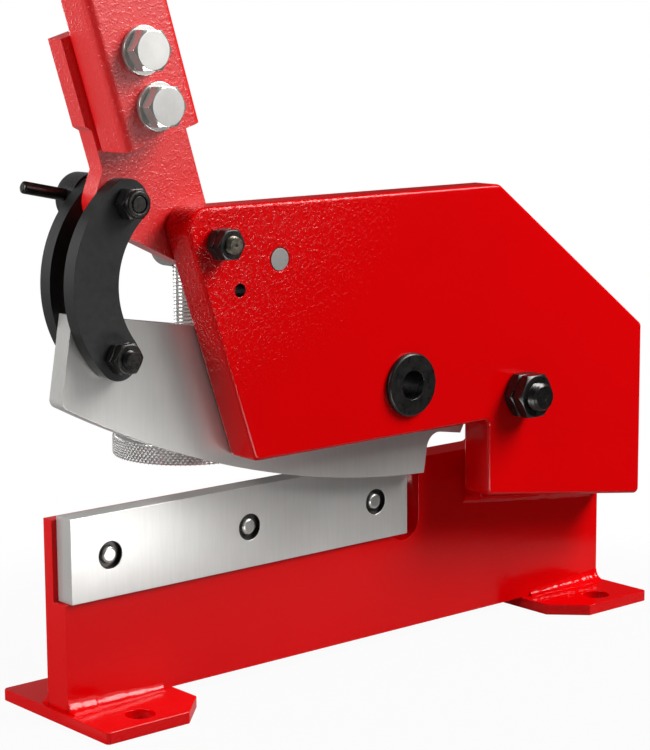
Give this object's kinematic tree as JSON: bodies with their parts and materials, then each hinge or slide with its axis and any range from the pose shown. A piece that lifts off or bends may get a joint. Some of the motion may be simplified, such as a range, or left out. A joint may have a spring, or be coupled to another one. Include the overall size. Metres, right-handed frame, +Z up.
{
  "type": "bench lever shear",
  "caption": "Hand lever shear on a footed frame plate: a bowed upper blade hinged in a cheek plate, driven through curved links by a long handle, with a screw hold-down.",
  "frame": {"origin": "middle of the foot bolt holes, on the surface that the feet stand on", "axes": "+Z up, +X along the frame plate from the open front end to the rear, +Y from the cheek plate's side to the hold-down's side"},
  "size_m": [0.4577, 0.1249, 0.6711],
  "materials": {
    "red_paint": "gloss",
    "ground_steel": "satin",
    "black_oxide": "satin",
    "zinc": "satin",
    "bronze": "satin",
    "grip_rubber": "matte"
  },
  "bodies": {
    "frame": {"frame_plate": "red_paint", "front_foot": "red_paint", "rear_foot": "red_paint", "front_foot_welds": "red_paint", "rear_foot_welds": "red_paint", "lower_blade": "ground_steel", "lower_blade_bolts": "zinc", "lower_blade_washers": "zinc", "cheek_plate": "red_paint", "cheek_spacer": "red_paint", "spacer_weld_bead": "red_paint", "clamp_bolt": "black_oxide", "clamp_washer": "black_oxide", "clamp_nut": "black_oxide", "clamp_lock_nut": "black_oxide", "blade_pivot_bush": "black_oxide", "thrust_washer": "zinc", "retaining_ring": "black_oxide", "lever_pivot_bolt": "black_oxide", "lever_pivot_washer": "black_oxide", "lever_pivot_nut": "black_oxide", "lever_pivot_lock_nut": "black_oxide", "hold_down_holder": "zinc"},
    "blade": {"upper_blade": "ground_steel"},
    "lever": {"lever_arm": "red_paint", "lever_bush": "bronze", "handle_tube": "red_paint", "handle_bolts": "zinc", "handle_washers": "zinc", "handle_nuts": "zinc", "hand_grip": "grip_rubber"},
    "links": {"near_link": "black_oxide", "far_link": "black_oxide", "lower_link_bolt": "black_oxide", "lower_link_nut": "black_oxide", "lower_link_lock_nut": "black_oxide", "upper_link_nut": "black_oxide"},
    "lock": {"lock_screw": "black_oxide", "tommy_bar": "black_oxide"},
    "pad": {"swivel_pad": "zinc"},
    "screw": {"hold_down_screw": "zinc", "hold_down_wheel": "zinc"}
  },
  "joints": [
    {"name": "lever_turn", "type": "hinge", "parent": "frame", "child": "lever", "pos_m": [-0.10705, -0.0147, 0.2122], "axis": [0, -1, 0], "range_deg": [0, 62]},
    {"name": "blade_turn", "type": "hinge", "parent": "frame", "child": "blade", "pos_m": [0.00615, -0.0147, 0.1364], "axis": [0, -1, 0], "range_deg": [0, 16.6]},
    {"name": "links_turn", "type": "hinge", "parent": "lever", "child": "links", "pos_m": [-0.1475, -0.0147, 0.23162], "axis": [0, -1, 0], "range_deg": [-65, 0]},
    {"name": "lock_turn", "type": "hinge", "parent": "lever", "child": "lock", "pos_m": [-0.1475, 0.005, 0.23162], "axis": [0, 1, 0], "range_deg": [-40, 40]},
    {"name": "pad_slide", "type": "slide", "parent": "frame", "child": "pad", "axis": [0, 0, 1], "range_m": [-0.0095, 0.0265]},
    {"name": "screw_turn", "type": "hinge", "parent": "pad", "child": "screw", "pos_m": [-0.07275, 0.0335, 0.11], "axis": [0, 0, 1], "range_deg": [-1980, 5520]}
  ],
  "couplings": [
    {"joint": "blade_turn", "follows": "lever_turn", "ratio": 0.2649},
    {"joint": "links_turn", "follows": "lever_turn", "ratio": -1.0398},
    {"joint": "screw_turn", "follows": "pad_slide", "rad_per_m": 3590.4}
  ]
}
